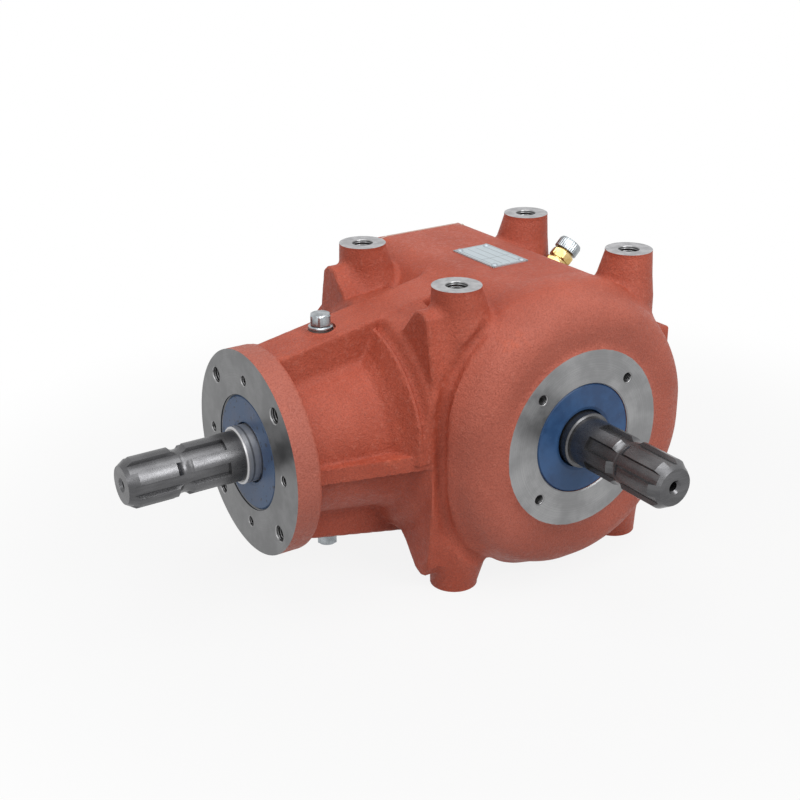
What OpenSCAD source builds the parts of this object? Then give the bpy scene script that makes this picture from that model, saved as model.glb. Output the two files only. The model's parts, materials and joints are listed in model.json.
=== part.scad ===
// Right-angle bevel gearbox for a tractor power take-off drive.
// Two splined shafts cross at the centre of a cast housing that stands on four foot bosses.
// Origin: centre of the foot pattern on the floor plane. -X: input shaft, -Y: output shaft, +Z: up.

/* [Housing] */
// Height of both shaft axes above the foot plane, and half of the housing's height
axis_h = 112; // [104:0.5:122]
// Distance of the top and bottom flats from the shaft axes
flat_h = 101.5; // [99:0.5:103]
// How far the body's upright sides stand inside an even octagon
side_in = 5; // [2:0.5:6]
// Distance of the cover face from the input shaft axis
cover_face_y = 97; // [94:0.5:102]
// Distance of the output dome's flats from the shaft axes
dome_flat = 107; // [104:0.5:108]
// Length of the dome behind the output face
dome_len = 46; // [38:0.5:54]
// Radius of the dome's front edge
dome_round = 32; // [24:0.5:36]
// Radius of the dome where its corners are rounded off
dome_r = 112; // [108:0.5:116]
// Wall thickness of the casting
wall = 10; // [7:0.5:12]

/* [Feet and top bosses] */
// Spacing of the bosses along the input shaft
boss_pitch_x = 150; // [144:0.5:156]
// Spacing of the bosses along the output shaft
boss_pitch_y = 120; // [114:0.5:126]
// Radius of a boss at its machined end
boss_r = 17; // [15:0.25:19]
// Radius of the tapped hole in a boss
boss_hole_r = 7; // [6:0.1:8]
// Depth of the tapped hole in a boss
boss_hole_depth = 26; // [18:0.5:34]
// Distance of the web between the bosses from the output shaft axis
web_x = 104; // [100:0.5:110]

/* [Input neck] */
// Distance of the input flange face from the output shaft axis
flange_face_x = 205; // [200:0.5:212]
// Radius of the input flange
flange_r = 72; // [70:0.5:76]
// Thickness of the input flange
flange_t = 18; // [15:0.5:22]
// Radius of the neck where it leaves the flange
neck_r_small = 49; // [47:0.5:56]
// Radius of the neck where it meets the body
neck_r_large = 64; // [60:0.5:72]
// Height of the neck's ridge above the axis at the flange
ridge_low = 69; // [64:0.5:74]
// Height of the neck's ridge above the axis at the body
ridge_high = 94; // [88:0.5:98]
// Width of the neck's ridge and keel
ridge_w = 35; // [28:0.5:42]
// Thickness of the level rib on each side of the neck
side_rib_t = 11; // [8:0.5:13]
// Distance of the filler plug from the output shaft axis
filler_x = 145; // [136:0.5:154]

/* [Flange and face holes] */
// Pitch circle of the four large flange holes
flange_pcd = 121; // [118:0.5:124]
// Radius of the large flange holes
flange_hole_r = 5.1; // [4:0.05:5.6]
// Pitch circle of the small holes on the flange and on the output face
face_pcd = 105; // [100:0.5:108]
// Radius of the small tapped holes
face_hole_r = 3.4; // [2.6:0.05:4]
// Depth of the flange and face holes
face_hole_depth = 16; // [12:0.5:18]
// Distance of the output face from the input shaft axis
out_face_y = 108; // [105:0.5:112]
// Radius of the machined output face
out_face_r = 63; // [61:0.5:65]

/* [Splined shaft ends] */
// Outside diameter of the six-tooth spline
spline_d = 34.9; // [33:0.1:36]
// Root diameter of the spline
spline_root_d = 29.6; // [28:0.1:31]
// Width of one spline tooth
spline_tooth_w = 8.6; // [7.5:0.1:9.2]
// Length of full spline, from the shaft's end
spline_len = 70; // [62:0.5:74]
// Radius of the locking groove
groove_r = 6.8; // [5:0.1:8]
// Distance of the locking groove from the input shaft's end
groove_in = 39; // [34:0.5:44]
// Distance of the locking groove from the output shaft's end
groove_out = 42; // [34:0.5:46]
// Length of the input shaft outside the flange
stub_in = 90; // [86:0.5:96]
// Length of the output shaft outside the face
stub_out = 90; // [86:0.5:96]

/* [Bearings and seals] */
// Diameter of the bearing seats and seal tracks on both shafts
seat_d = 40; // [38:0.1:42]
// Outside diameter of the bearings and seals
bearing_d = 80; // [78:0.1:84]
// Overall width of the three narrow bearings
bearing_w = 19.75; // [18:0.25:21]
// Overall width of the bearing beside the pinion
wide_bearing_w = 24.75; // [22:0.25:27]
// Number of rollers in one bearing
roller_n = 17; // [14:1:18]
// Width of a shaft seal
seal_w = 10; // [8:0.5:12]

/* [Bevel gears] */
// Teeth on the pinion
pinion_n = 14; // [13:1:15]
// Teeth on the crown gear
crown_n = 27; // [26:1:28]
// Module at the large end of the teeth
gear_m = 5.6; // [5.2:0.05:5.7]
// Length of the teeth along the pitch cone
tooth_len = 25; // [20:0.5:27]
// Pressure angle
pressure_a = 20; // [19:0.5:22]
// Backlash at the pitch circle of each gear
backlash = 0.3; // [0.2:0.05:0.5]

/* [Cover and fittings] */
// Thickness of the bearing cover's plate
cover_t = 6; // [5:0.5:9]
// Thickness of the cover gasket
gasket_t = 1; // [0.6:0.1:1.5]
// Radius of the opening that the cover closes
cover_bore_r = 80; // [79:0.5:83]
// Length of the data plate
plate_l = 50; // [40:0.5:56]
// Width of the data plate
plate_w = 31; // [24:0.5:36]
// Across flats of the filler and drain plugs
plug_af = 16; // [13:0.5:19]
// Radius of the filler, drain and breather threads
plug_r = 6; // [5:0.25:7]
// Across flats of the breather's brass hexagon
breather_af = 19; // [16:0.5:22]
// Height of the breather above its seat
breather_h = 34; // [30:0.5:38]

/* [Hidden] */
$fn = 72;
eps = 0.01;
fit = 0.03;

// Colours, as the photo shows them
red_oxide = [0.62, 0.25, 0.20];
bare_iron = [0.62, 0.62, 0.60];
dark_steel = [0.34, 0.34, 0.35];
bright_steel = [0.72, 0.73, 0.74];
zinc = [0.78, 0.80, 0.80];
brass = [0.76, 0.60, 0.28];
seal_blue = [0.13, 0.27, 0.47];
paper_grey = [0.70, 0.70, 0.66];

// Placing along the two shafts: inside, +Z runs from the shaft's outer end inwards
module on_input() translate([0, 0, axis_h]) rotate([0, 90, 0]) children();
module on_output() translate([0, 0, axis_h]) rotate([-90, 0, 0]) children();

// A straight run of z, and a ring or sleeve
module tube(r_out, r_in, z0, z1) translate([0, 0, z0]) difference() {
    cylinder(r = r_out, h = z1 - z0);
    translate([0, 0, -eps]) cylinder(r = r_in, h = z1 - z0 + 2 * eps);
}
module rod(r, z0, z1) translate([0, 0, z0]) cylinder(r = r, h = z1 - z0);
module revolve(points) rotate_extrude() polygon(points);
function arc(cx, cy, r, a0, a1, n = 6) = [for (i = [0:n]) let (a = a0 + (a1 - a0) * i / n)
    [cx + r * cos(a), cy + r * sin(a)]];

// Positions along the input shaft, measured as X
spline_r = spline_d / 2;
seat_r = seat_d / 2;
bore_r = bearing_d / 2;
seal_recess = 0.5;
clip_w = 2.5;
shim_w = 1;
clip_groove = 2;
seal_gap = 1;
in_tip = -flange_face_x - stub_in;
in_seal = -flange_face_x + seal_recess;
in_clip = in_seal + seal_w + seal_gap;
in_outer = in_clip + clip_w + 1;
// Positions along the output shaft, measured as Y
out_tip = -out_face_y - stub_out;
out_seal = -out_face_y + seal_recess;
out_clip = out_seal + seal_w + seal_gap;
out_shim = out_clip + clip_w;
out_near = out_shim + shim_w;

// Gear cones
pinion_cone = atan(pinion_n / crown_n);
crown_cone = 90 - pinion_cone;
pinion_pr = gear_m * pinion_n / 2;
crown_pr = gear_m * crown_n / 2;
cone_len = sqrt(pinion_pr * pinion_pr + crown_pr * crown_pr);
toe_share = (cone_len - tooth_len) / cone_len;
crown_add = (0.54 + 0.46 * pow(pinion_n / crown_n, 2)) * gear_m;
pinion_add = 2 * gear_m - crown_add;
whole_depth = 2.25 * gear_m;
// Thickness that the longer pinion addendum moves from the crown's tooth to the pinion's
tooth_shift = (pinion_add - crown_add) * tan(pressure_a);

// Stack beside the pinion
pinion_bore_r = seat_r - 2.5;
pinion_back = -crown_pr - 6;
in_inner = pinion_back - wide_bearing_w;
pinion_front = -crown_pr * toe_share + 2;
nut_w = 8;
washer_w = 1.5;
in_end = pinion_front + washer_w + nut_w + 2;
// Stack beside the crown gear
crown_seat_r = seat_r + 2.5;
crown_front = -pinion_pr * toe_share + 1;
crown_back = -pinion_pr - 12;
shaft_collar_r = crown_seat_r + 5;
shaft_collar_w = 6;
cover_in = cover_face_y + gasket_t;
out_far = cover_in - bearing_w - 2;
out_end = out_far + bearing_w - 1;

// Key sizes
key_w = 10;
key_h = 8;

// Tapered roller bearings
// Race angles follow from the roller's tilt, so that cup, cone and rollers share one apex
roller_tilt = 12;
roller_pitch_r = (seat_r + bore_r) / 2;
roller_r = (bore_r - seat_r) * 0.215;
roller_half = asin(roller_r / (roller_pitch_r / sin(roller_tilt)));
cage_t = 1.4;
race_gap = 0.04;
function cup_w(w) = w - 3.75;
function cone_w(w) = w - 1.75;
function roller_l(w) = w - 6.5;
// Radius of the cup's or the cone's race at height z above the roller's middle
function cup_race(z) = (roller_pitch_r + z * tan(roller_tilt)) + (roller_r + race_gap) / cos(roller_tilt)
    + z * (tan(roller_tilt + roller_half) - tan(roller_tilt));
function cone_race(z) = (roller_pitch_r + z * tan(roller_tilt)) - (roller_r + race_gap) / cos(roller_tilt)
    + z * (tan(roller_tilt - roller_half) - tan(roller_tilt));

// z = 0 is the cone's wide face, where the rollers are thickest, and the bearing's width runs down to -w
module bearing_cup(w) {
    mid = -w / 2;
    back = -w;
    color(bright_steel) difference() {
        rod(bore_r - fit, back, back + cup_w(w));
        revolve([[0, back - eps], [cup_race(back - eps - mid), back - eps],
                 [cup_race(back + cup_w(w) + eps - mid), back + cup_w(w) + eps],
                 [0, back + cup_w(w) + eps]]);
    }
}
module bearing_cone(w) {
    mid = -w / 2;
    half = roller_l(w) / 2 + 0.25;
    // the tilted rollers reach a little further at their thick end
    high = half + roller_r * sin(roller_tilt);
    lip = 1.6;
    small = -cone_w(w);
    color(bright_steel) revolve([[seat_r + fit, small], [cone_race(-half) + lip / 2, small],
        [cone_race(-half) + lip / 2, mid - half], [cone_race(-half), mid - half],
        [cone_race(high), mid + high], [cone_race(high) + lip, mid + high],
        [cone_race(high) + lip, 0], [seat_r + fit, 0]]);
}
module roller_set(w, extra = 0) {
    half = roller_l(w) / 2;
    taper = half * tan(roller_half);
    for (i = [0:roller_n - 1]) rotate([0, 0, 360 * i / roller_n])
        translate([roller_pitch_r, 0, -w / 2]) rotate([0, roller_tilt, 0])
            translate([0, 0, -half - extra])
                cylinder(r1 = roller_r - taper + extra, r2 = roller_r + taper + extra, h = 2 * (half + extra));
}
module bearing_rollers(w) color(bright_steel) roller_set(w);
module bearing_cage(w) {
    half = roller_l(w) / 2 + 1.6;
    mid = -w / 2;
    function line(z, side) = roller_pitch_r + 0.7 + z * tan(roller_tilt) + side * cage_t / 2;
    color(dark_steel) difference() {
        revolve([[line(-half, -1), mid - half], [line(half, -1), mid + half],
                 [line(half, 1), mid + half], [line(-half, 1), mid - half]]);
        roller_set(w, 0.2);
    }
}

// A bearing's place: faces the rollers' thick end inwards or outwards
module in_outer_place() on_input() translate([0, 0, in_outer]) mirror([0, 0, 1]) children();
module in_inner_place() on_input() translate([0, 0, in_inner + wide_bearing_w]) children();
module out_near_place() on_output() translate([0, 0, out_near + bearing_w]) children();
module out_far_place() on_output() translate([0, 0, out_far]) mirror([0, 0, 1]) children();

// Shaft seal: rubber-covered case with a sealing lip, outer face at z = 0
lip_gap = 0.05;
module shaft_seal() {
    lip_r = seat_r + lip_gap;
    color(seal_blue) revolve([[lip_r + 1.2, 0.8], [lip_r + 3.5, 0], [bore_r - 1.2, 0], [bore_r - fit, 1.2],
        [bore_r - fit, seal_w - 1], [bore_r - 1, seal_w], [bore_r - 3.6, seal_w], [bore_r - 3.6, 3.4],
        [lip_r + 6, 3.4], [lip_r + 4.2, 4.6], [lip_r + 4.2, seal_w - 1.5], [lip_r + 1.4, seal_w - 1.5],
        [lip_r, seal_w - 3.6], [lip_r + 1.6, 3.6]]);
}
module seal_spring() {
    wire = 0.8;
    color(bright_steel) translate([0, 0, seal_w - 3]) rotate_extrude()
        translate([seat_r + lip_gap + 4.2 + wire + fit, 0]) circle(wire);
}

// Split retaining rings
module bore_clip() color(dark_steel) difference() {
    tube(bore_r + clip_groove - 0.2, bore_r - 6, 0, clip_w);
    translate([0, -5, -eps]) cube([bore_r + 5, 10, clip_w + 2 * eps]);
}
module shaft_clip_ring(w) color(dark_steel) difference() {
    tube(seat_r + 4, seat_r - 1.2, 0, w);
    translate([0, -4, -eps]) cube([seat_r + 6, 8, w + 2 * eps]);
}
shaft_clip_w = 1.75;

// Six-tooth splined end, with its outer end at z = 0
runout_r = 45;
runout_len = 14;
tip_chamfer_z = 7;
tip_face_r = 13;
module spline_gaps() difference() {
    circle(spline_r + 2);
    circle(spline_root_d / 2);
    for (a = [0, 60, 120]) rotate(a) square([2 * spline_r + 6, spline_tooth_w], center = true);
}
module spline_flutes() {
    translate([0, 0, -1]) linear_extrude(spline_len + 1) spline_gaps();
    intersection() {
        translate([0, 0, spline_len - eps]) linear_extrude(runout_len) spline_gaps();
        for (a = [30:60:330]) rotate([0, 0, a]) translate([spline_root_d / 2 + runout_r, 0, spline_len])
            rotate([90, 0, 0]) cylinder(r = runout_r, h = 14, center = true);
    }
}
module spline_end(groove_z) difference() {
    union() {
        cylinder(r1 = tip_face_r, r2 = spline_r, h = tip_chamfer_z);
        rod(spline_r, tip_chamfer_z - eps, spline_len + runout_len + 8);
    }
    spline_flutes();
    translate([0, 0, groove_z]) rotate_extrude() translate([spline_root_d / 2 - 0.1 + groove_r, 0])
        circle(groove_r);
    translate([0, 0, -eps]) cylinder(r = 3.2, h = 18);
    translate([0, 0, -eps]) cylinder(r1 = 5, r2 = 3.2, h = 1.8);
}

// Input shaft
collar_in = 8;
collar_out = 4;
module input_shaft() color(dark_steel) on_input() difference() {
    union() {
        translate([0, 0, in_tip]) spline_end(groove_in);
        rod(spline_r, in_tip + spline_len, -flange_face_x - collar_in + eps);
        translate([0, 0, -flange_face_x - collar_in - 1]) cylinder(r1 = seat_r - 1.5, r2 = seat_r, h = 1.5);
        rod(seat_r, -flange_face_x - collar_in, pinion_back);
        rod(pinion_bore_r - fit, pinion_back - eps, in_end);
    }
    // groove of the outer retaining ring
    tube(seat_r + 1, seat_r - 1.25, in_outer - shaft_clip_w - fit, in_outer);
    pinion_keyway();
}
module pinion_keyway() translate([-pinion_bore_r - key_h / 2, -key_w / 2, pinion_back + 4])
    cube([key_h, key_w, pinion_front - pinion_back - 4 + in_end - pinion_front + 1]);
module pinion_key() color(bright_steel) on_input()
    translate([-pinion_bore_r - key_h / 2 + fit, -key_w / 2 + fit, pinion_back + 4 + fit])
        cube([key_h - 2 * fit, key_w - 2 * fit, pinion_front - pinion_back - 5]);
module pinion_washer() color(bright_steel) on_input()
    tube(pinion_bore_r + 6, pinion_bore_r + fit, pinion_front + fit, pinion_front + washer_w);
module pinion_nut() color(dark_steel) on_input() difference() {
    rod(pinion_bore_r + 7, pinion_front + washer_w + fit, pinion_front + washer_w + nut_w);
    rod(pinion_bore_r + fit, pinion_front, in_end + 5);
    for (a = [0:90:270]) rotate([0, 0, a + 45]) translate([pinion_bore_r + 4.5, -3, pinion_front])
        cube([8, 6, washer_w + nut_w + 2]);
}
module distance_sleeve() color(bright_steel) on_input()
    tube(seat_r + 4.5, seat_r + fit, in_outer + cone_w(bearing_w) + fit, in_inner + wide_bearing_w - cone_w(wide_bearing_w) - fit);
module input_shaft_clip() on_input() translate([0, 0, in_outer - shaft_clip_w]) shaft_clip_ring(shaft_clip_w - fit);
module input_spacer() color(bright_steel) on_input()
    tube(bore_r - fit, bore_r - 4, in_clip + clip_w + fit, in_outer + bearing_w - cup_w(bearing_w) - fit);
module input_bore_clip() on_input() translate([0, 0, in_clip]) bore_clip();
module input_seal() on_input() translate([0, 0, in_seal]) shaft_seal();
module input_seal_spring() on_input() translate([0, 0, in_seal]) seal_spring();

// Output shaft
module output_shaft() color(dark_steel) on_output() difference() {
    union() {
        translate([0, 0, out_tip]) spline_end(groove_out);
        rod(spline_r, out_tip + spline_len, -out_face_y - collar_out + eps);
        translate([0, 0, -out_face_y - collar_out - 1]) cylinder(r1 = seat_r - 1.5, r2 = seat_r, h = 1.5);
        rod(seat_r, -out_face_y - collar_out, out_end);
        rod(crown_seat_r - fit, out_near + bearing_w, out_far);
        rod(shaft_collar_r, crown_front, crown_front + shaft_collar_w);
    }
    tube(seat_r + 1, seat_r - 1.25, out_far + cone_w(bearing_w), out_far + cone_w(bearing_w) + shaft_clip_w);
    crown_keyway();
}
module crown_keyway() translate([-crown_seat_r - key_h / 2, -key_w / 2, crown_back + 4])
    cube([key_h, key_w, crown_front - crown_back - 8]);
module crown_key() color(bright_steel) on_output()
    translate([-crown_seat_r - key_h / 2 + fit, -key_w / 2 + fit, crown_back + 4 + fit])
        cube([key_h - 2 * fit, key_w - 2 * fit, crown_front - crown_back - 8 - 2 * fit]);
module output_shaft_clip() on_output() translate([0, 0, out_far + cone_w(bearing_w) + fit])
    shaft_clip_ring(shaft_clip_w - 2 * fit);
module output_shim() color(bright_steel) on_output()
    tube(bore_r - fit, bore_r - 6, out_shim + fit, out_near - fit);
module output_bore_clip() on_output() translate([0, 0, out_clip]) bore_clip();
module output_seal() on_output() translate([0, 0, out_seal]) shaft_seal();
module output_seal_spring() on_output() translate([0, 0, out_seal]) seal_spring();

// Straight bevel teeth on spherical involutes.
// A flank's azimuth at polar angle t, for a base cone b, by rolling a great circle on the base cone
function roll_arc(t, b) = acos(min(1, cos(t) / cos(b)));
function s_inv(t, b) = roll_arc(t, b) / sin(b) - atan(tan(roll_arc(t, b)) / sin(b));
function base_cone(d) = asin(sin(d) * cos(pressure_a));
function half_tooth(t, d, n, extra) = let (b = base_cone(d))
    90 / n + extra + s_inv(d, b) - s_inv(max(t, b), b);
// Outline of n teeth on the plane at distance h from the apex
flank_steps = 5;
function tooth_outline(n, d, add, ded, extra, h) = let (
        t_tip = d + atan(add / cone_len), t_root = d - atan(ded / cone_len))
    [for (k = [0:n - 1]) for (side = [-1, 1]) for (i = [0:flank_steps]) let (
        s = side < 0 ? i / flank_steps : 1 - i / flank_steps,
        t = t_root + (t_tip - t_root) * s,
        a = 360 * k / n + side * half_tooth(t, d, n, extra))
        h * tan(t) * [cos(a), sin(a)]];
// Toothed frustum, with the apex at the origin and the large end at z = -h
module bevel_teeth(n, d, add, extra) {
    ded = whole_depth - add;
    h_heel = cone_len * cos(d) + ded * sin(d) + 0.5;
    h_toe = cone_len * toe_share * cos(d) - whole_depth * sin(d);
    heel_r = cone_len / cos(d);
    toe_r = toe_share * cone_len / cos(d);
    intersection() {
        translate([0, 0, -h_heel]) linear_extrude(h_heel - h_toe, scale = h_toe / h_heel)
            polygon(tooth_outline(n, d, add, ded, extra, h_heel));
        // back cone and front cone, both square to the pitch cone
        revolve([[0, -toe_r], [0, -heel_r], [heel_r / tan(d), 0], [toe_r / tan(d), 0]]);
    }
}
pinion_extra = (tooth_shift - backlash) / 2 / pinion_pr * 180 / PI;
crown_extra = (-tooth_shift - backlash) / 2 / crown_pr * 180 / PI;
// Point on the root cone at distance len from the apex, sunk below the root by a little
function root_point(d, ded, len) = [len * sin(d) - (ded * len / cone_len + 0.4) * cos(d),
                                    -len * cos(d) - (ded * len / cone_len + 0.4) * sin(d)];
pinion_ded = whole_depth - pinion_add;
crown_ded = whole_depth - crown_add;
// A gap of the pinion and a tooth of the crown gear lie on the line where the pitch cones touch
module bevel_pinion() color(dark_steel) on_input() difference() {
    union() {
        rotate([0, 0, -90 + 180 / pinion_n]) bevel_teeth(pinion_n, pinion_cone, pinion_add, pinion_extra);
        revolve([[0, pinion_back + fit], [root_point(pinion_cone, pinion_ded, cone_len)[0], pinion_back + fit],
                 root_point(pinion_cone, pinion_ded, cone_len),
                 root_point(pinion_cone, pinion_ded, cone_len * toe_share),
                 [pinion_bore_r + 5, pinion_front], [0, pinion_front]]);
    }
    rod(pinion_bore_r, pinion_back - 1, pinion_front + 1);
    pinion_keyway();
}
crown_hub_r = crown_seat_r + 12;
crown_web = -pinion_pr * toe_share - 9;
module crown_gear() color(dark_steel) on_output() difference() {
    union() {
        rotate([0, 0, 180]) bevel_teeth(crown_n, crown_cone, crown_add, crown_extra);
        revolve([[0, crown_back], [root_point(crown_cone, crown_ded, cone_len)[0] - 5, crown_back],
                 root_point(crown_cone, crown_ded, cone_len),
                 root_point(crown_cone, crown_ded, cone_len * toe_share),
                 [root_point(crown_cone, crown_ded, cone_len * toe_share)[0] - 2, crown_web], [0, crown_web]]);
        rod(crown_hub_r, out_near + bearing_w + fit, crown_front - fit);
    }
    rod(crown_seat_r, out_near, 0);
    crown_keyway();
}

// Casting: outside
neck_x0 = -flange_face_x + flange_t - 2;
neck_x1 = -80;
module along_y(y0, y1) translate([0, y1, 0]) rotate([90, 0, 0]) linear_extrude(y1 - y0) children();
module octagon(apothem) polygon([for (a = [22.5:45:337.5]) apothem / cos(22.5) * [cos(a), sin(a)]]);
side_x = flat_h - side_in;
// Octagon whose upright sides stand at their own distances from the axis
module section_y(apothem, left, right, y0, y1) along_y(y0, y1) intersection() {
    octagon(apothem);
    translate([-left, -apothem]) square([left + right, 2 * apothem]);
}
module barrel() intersection() {
    section_y(flat_h, side_x, side_x, -out_face_y + dome_len, cover_face_y);
    rotate([-90, 0, 0]) rod(flat_h / cos(22.5) - corner_cut, -out_face_y, cover_face_y);
}
corner_cut = 2.5;
dome_y = -out_face_y + 1.5;
// Revolved dome, cut to an octagon
module dome() {
    intersection() {
        section_y(dome_flat, side_x + 1.5, dome_flat, dome_y - 1, -out_face_y + dome_len + 12);
        rotate([-90, 0, 0]) rotate_extrude() {
            polygon([[0, dome_y], [dome_r - dome_round, dome_y], [dome_r, dome_y + dome_round],
                     [dome_r, -out_face_y + dome_len], [dome_r - 12, -out_face_y + dome_len + 12],
                     [0, -out_face_y + dome_len + 12]]);
            translate([dome_r - dome_round, dome_y + dome_round]) circle(dome_round);
        }
    }
    // raised ring under the machined face
    rotate([-90, 0, 0]) translate([0, 0, -out_face_y]) cylinder(r1 = out_face_r, r2 = out_face_r + 6, h = 6);
}
ridge_x1 = -52;
module neck_profile(low, high, w) along_y(-w / 2, w / 2)
    polygon([[neck_x0, 0], [neck_x0, low], [ridge_x1, high], [ridge_x1, 0]]);
module neck() {
    rotate([0, 90, 0]) translate([0, 0, neck_x0]) cylinder(r1 = neck_r_small, r2 = neck_r_large, h = neck_x1 - neck_x0);
    neck_profile(ridge_low, ridge_high, ridge_w);
    mirror([0, 0, 1]) neck_profile(keel_low, keel_high, ridge_w);
    // feet of the ridge and the keel, which carry them down to the cone
    neck_profile(ridge_low - 15, ridge_high - 16, ridge_w + 14);
    mirror([0, 0, 1]) neck_profile(keel_low - 15, keel_high - 16, ridge_w + 14);
}
keel_low = ridge_low - 3;
keel_high = ridge_high - 1;
rib_out = 5;
module side_ribs() translate([0, 0, -side_rib_t + 2]) linear_extrude(side_rib_t)
    polygon([[neck_x0, -neck_r_small - rib_out], [-web_x, -web_y - 15], [-web_end, -web_y - 15],
             [-web_end, web_y + 15], [-web_x, web_y + 15], [neck_x0, neck_r_small + rib_out]]);
module flange() rotate([0, 90, 0]) translate([0, 0, -flange_face_x]) {
    rod(flange_r, 0, flange_t);
    translate([0, 0, flange_t - eps]) cylinder(r1 = flange_r, r2 = flange_r - 6, h = 5);
}
module four(x, y) for (i = [-1, 1]) for (j = [-1, 1]) translate([i * x, j * y, 0]) children();
// Tapered columns, with a straight end where they are machined
boss_draft = 6;
boss_end = 8;
boss_root = 36;
module bosses() four(boss_pitch_x / 2, boss_pitch_y / 2) for (side = [0, 1]) mirror([0, 0, side]) {
    rod(boss_r, boss_root + 4, axis_h);
    translate([0, 0, boss_root]) cylinder(r1 = boss_r + boss_draft, r2 = boss_r, h = axis_h - boss_end - boss_root);
}
// Web square to the neck, which joins the four bosses of the input side; one quarter of its outline
web_y = boss_pitch_y / 2;
web_top = axis_h - 14;
web_low = ridge_high - 12;
web_end = boss_pitch_x / 2;
web_quarter = [[0, 0], [0, web_low], [web_y - 22, web_low - 5], [web_y - 7, web_top - 1], [web_y + 2, web_top],
    [web_y + 7.5, web_top - 4], [web_y + 11.5, web_top - 23], [web_y + 14.5, web_top - 52], [web_y + 16, 10], [web_y + 16, 0]];
module gussets() translate([-web_x, 0, 0]) rotate([90, 0, 90]) linear_extrude(web_x - web_end)
    for (j = [0, 1]) for (k = [0, 1]) mirror([j, 0, 0]) mirror([0, k, 0]) polygon(web_quarter);
// Two steps by which the neck widens to the web
band_w = 5;
band_r = 78;
band_h = 7;
module band(x, r, y, z) intersection() {
    rotate([0, 90, 0]) rod(r, -x, -web_end);
    translate([-x, -y, -z]) cube([x - web_end, 2 * y, z + web_low + 2]);
}
module bands() {
    band(web_x + 2 * band_w, band_r, web_y + 13, web_low - 22);
    band(web_x + band_w, band_r + band_h, web_y + 15, web_low - 42);
}
// Upright pads on the rear wall, with a square upper end
rear_x = 106.5;
rear_z = 52;
rear_w = 26;
rear_y = 75;
module rear_pads() for (j = [-1, 1]) translate([side_x - 30, j * (rear_y - rear_w / 2) - rear_w / 2, -rear_z])
    cube([rear_x - side_x + 30, rear_w, 2 * rear_z]);
filler_z = ridge_low + 8;
drain_z = -keel_low - 9;
pad_r = 12;
breather_y = 25;
slope_d = flat_h;
breather_pad = 3;
module on_slope() translate([0, breather_y, 0]) rotate([0, 45, 0]) translate([0, 0, slope_d + breather_pad]) children();
module pads() {
    translate([-filler_x, 0, 0]) rod(pad_r, ridge_low - 8, filler_z);
    translate([-filler_x, 0, 0]) rod(pad_r, drain_z, -keel_low + 6);
    on_slope() rod(pad_r, -12, 0);
}

// Casting: inside
thrust_r = bore_r - 5;
core_r = bore_r + 4;
land = 8;
module in_cuts() rotate([0, 90, 0]) {
    rod(bore_r, -flange_face_x - 1, in_outer + bearing_w);
    rod(thrust_r, -flange_face_x, -60);
    rod(core_r, in_outer + bearing_w + land, in_inner - land);
    rod(bore_r, in_inner, pinion_back + 2);
    rod(pinion_pr + 11, pinion_back + 1.5, -40);
    rod(bore_r + clip_groove, in_clip - fit, in_clip + clip_w + fit);
}
module out_cuts() rotate([-90, 0, 0]) {
    rod(bore_r, -out_face_y - 1, 0);
    rod(bore_r + clip_groove, out_clip - fit, out_clip + clip_w + fit);
    rod(cover_bore_r, out_near + bearing_w + 3, cover_face_y + 1);
    tube(dome_r - wall - 16, bore_r + wall, out_near + 4, out_near + bearing_w + 3 + eps);
}
module holes_on_circle(pcd, first, r, z0, z1) for (a = [0:90:270]) rotate([0, 0, a + first])
    translate([pcd / 2, 0, 0]) rod(r, z0, z1);
cover_hole_r = 3.4;
cover_screw_r = (cover_bore_r + flat_h / cos(22.5) - corner_cut) / 2;
cover_hole_depth = 18;
cover_angles = [22.5, 67.5, 112.5, 157.5, 202.5, 247.5, 292.5, 337.5];
module at_cover_screws() for (a = cover_angles) rotate([0, a, 0]) translate([cover_screw_r, 0, 0]) children();
rivet_r = 1.5;
rivet_inset = 3.5;
plate_x = 2.5;
plate_y = 8;
module at_rivets() for (i = [-1, 1]) for (j = [-1, 1])
    translate([plate_x + i * (plate_w / 2 - rivet_inset), plate_y + j * (plate_l / 2 - rivet_inset), flat_h]) children();
module housing() color(red_oxide) translate([0, 0, axis_h]) difference() {
    union() {
        barrel();
        dome();
        neck();
        side_ribs();
        flange();
        bosses();
        gussets();
        bands();
        rear_pads();
        pads();
    }
    in_cuts();
    out_cuts();
    four(boss_pitch_x / 2, boss_pitch_y / 2) {
        rod(boss_hole_r, axis_h - boss_hole_depth, axis_h + 1);
        rod(boss_hole_r, -axis_h - 1, -axis_h + boss_hole_depth);
    }
    rotate([0, 90, 0]) {
        holes_on_circle(flange_pcd, 45, flange_hole_r, -flange_face_x - 1, -flange_face_x + face_hole_depth);
        holes_on_circle(face_pcd, 0, face_hole_r, -flange_face_x - 1, -flange_face_x + face_hole_depth);
    }
    rotate([-90, 0, 0]) holes_on_circle(face_pcd, 45, face_hole_r, -out_face_y - 1, -out_face_y + face_hole_depth);
    translate([0, cover_face_y - cover_hole_depth, 0]) at_cover_screws() rotate([-90, 0, 0])
        rod(cover_hole_r, 0, cover_hole_depth + 1);
    translate([-filler_x, 0, 0]) rod(plug_r, 20, filler_z + 1);
    translate([-filler_x, 0, 0]) rod(plug_r, drain_z - 1, -20);
    on_slope() rod(plug_r, -40, 1);
    at_rivets() rod(rivet_r, -8, 1);
    // spot faces of the plugs and the breather
    translate([-filler_x, 0, 0]) rod(pad_r, filler_z, filler_z + 12);
    translate([-filler_x, 0, 0]) rod(pad_r, drain_z - 12, drain_z);
    on_slope() rod(pad_r, 0, 12);
}

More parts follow.
